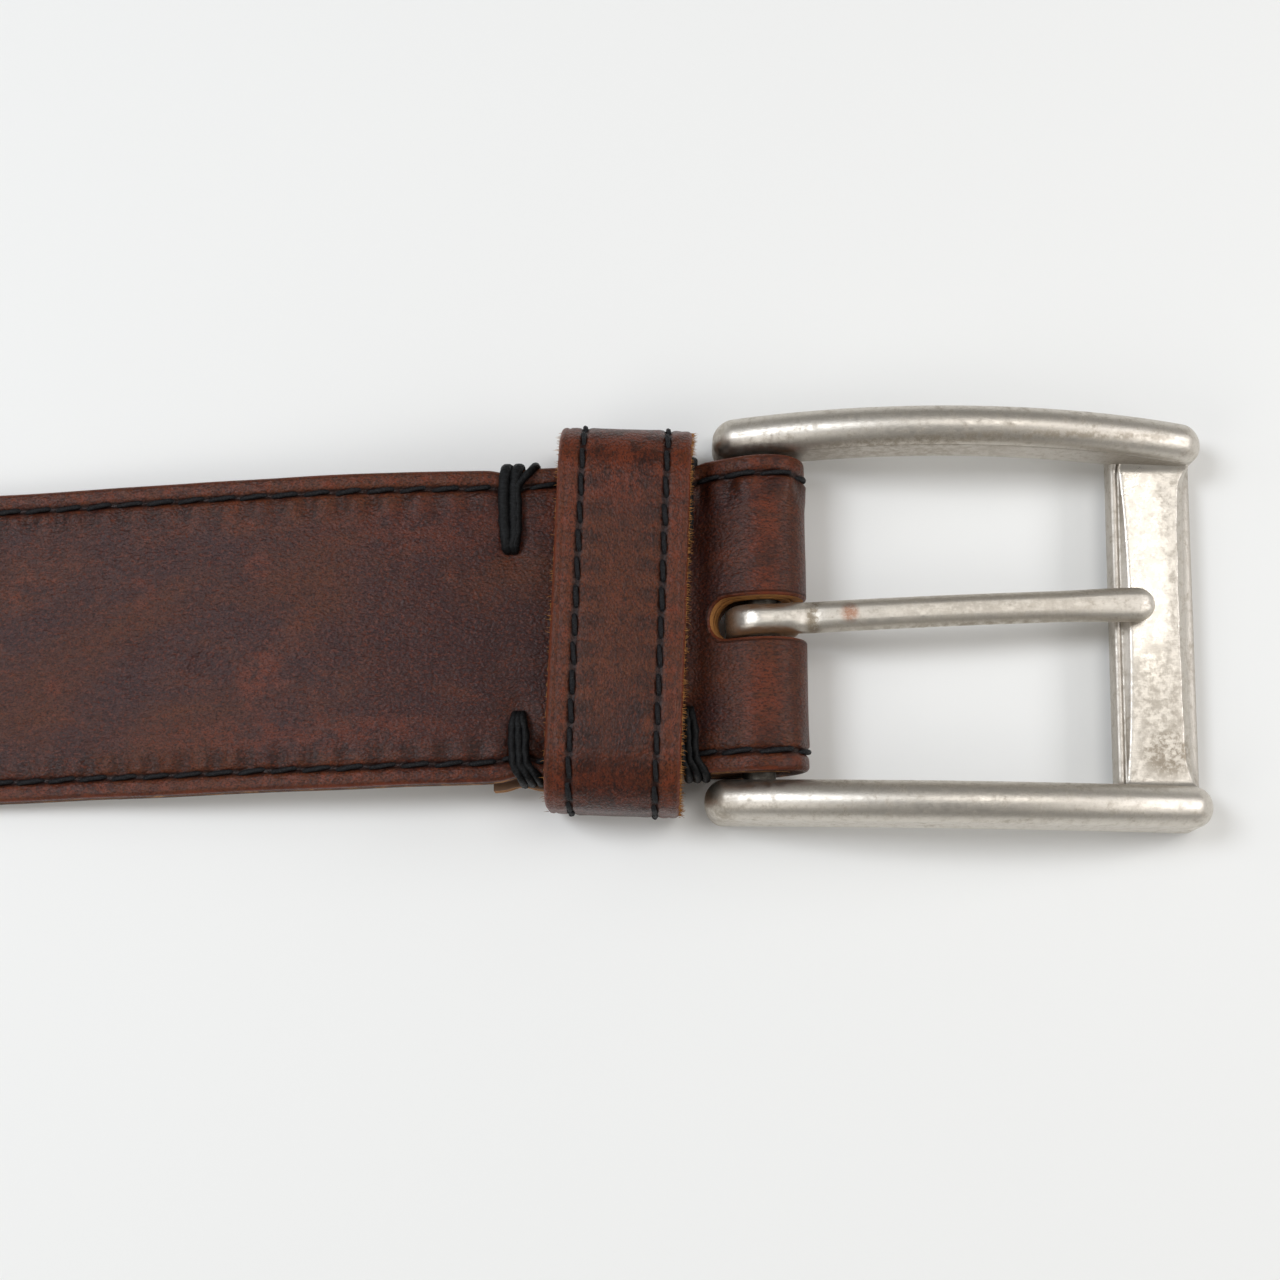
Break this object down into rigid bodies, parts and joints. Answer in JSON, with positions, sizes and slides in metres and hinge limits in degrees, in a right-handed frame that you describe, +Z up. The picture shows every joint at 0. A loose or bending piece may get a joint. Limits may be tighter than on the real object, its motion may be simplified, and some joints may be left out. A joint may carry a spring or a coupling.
{
  "type": "leather belt",
  "caption": "Leather belt laid flat: stitched two-ply strap folded round a bowed metal buckle, with a swinging tongue, a keeper loop held between cord tacks, punched holes and a pointed tip.",
  "frame": {"origin": "middle of the belt's length on the surface it lies on, below the strap's centre line", "axes": "+X along the belt to the buckle, +Y to the strap's upper edge as it is looked down on, +Z up"},
  "size_m": [1.1399, 0.0549, 0.0162],
  "materials": {
    "strap_leather": "full grain, waxed, worn",
    "lining_leather": "smooth, matt",
    "keeper_leather": "full grain, waxed, worn",
    "thread": "twisted, matt",
    "waxed_cord": "waxed",
    "staple_wire": "satin",
    "buckle_metal": "antique nickel, satin, worn",
    "tongue_metal": "antique nickel, satin, worn"
  },
  "bodies": {
    "strap": {"strap_face": "strap_leather", "face_lift": "strap_leather", "face_fold": "strap_leather", "strap_lining": "lining_leather", "lining_lift": "lining_leather", "lining_fold": "lining_leather", "seam_thread_face": "thread", "seam_thread_back": "thread", "tack_upper_left": "waxed_cord", "tack_lower_left": "waxed_cord", "tack_upper_right": "waxed_cord", "tack_lower_right": "waxed_cord"},
    "keeper": {"keeper_band": "keeper_leather", "keeper_thread_left": "thread", "keeper_thread_right": "thread", "keeper_staple": "staple_wire"},
    "frame": {"buckle_frame": "buckle_metal"},
    "tongue": {"tongue": "tongue_metal"}
  },
  "joints": [
    {"name": "frame_swing", "type": "hinge", "parent": "strap", "child": "frame", "pos_m": [0.513, 0, 0.0062], "axis": [-0.0471, -0.9989, 0], "range_deg": [-90, 15]},
    {"name": "tongue_swing", "type": "hinge", "parent": "frame", "child": "tongue", "pos_m": [0.513, 0, 0.0062], "axis": [-0.0471, -0.9989, 0], "range_deg": [0, 90]},
    {"name": "keeper_slide", "type": "slide", "parent": "strap", "child": "keeper", "axis": [1, 0, 0], "range_m": [-0.0014, 0.0006]}
  ]
}
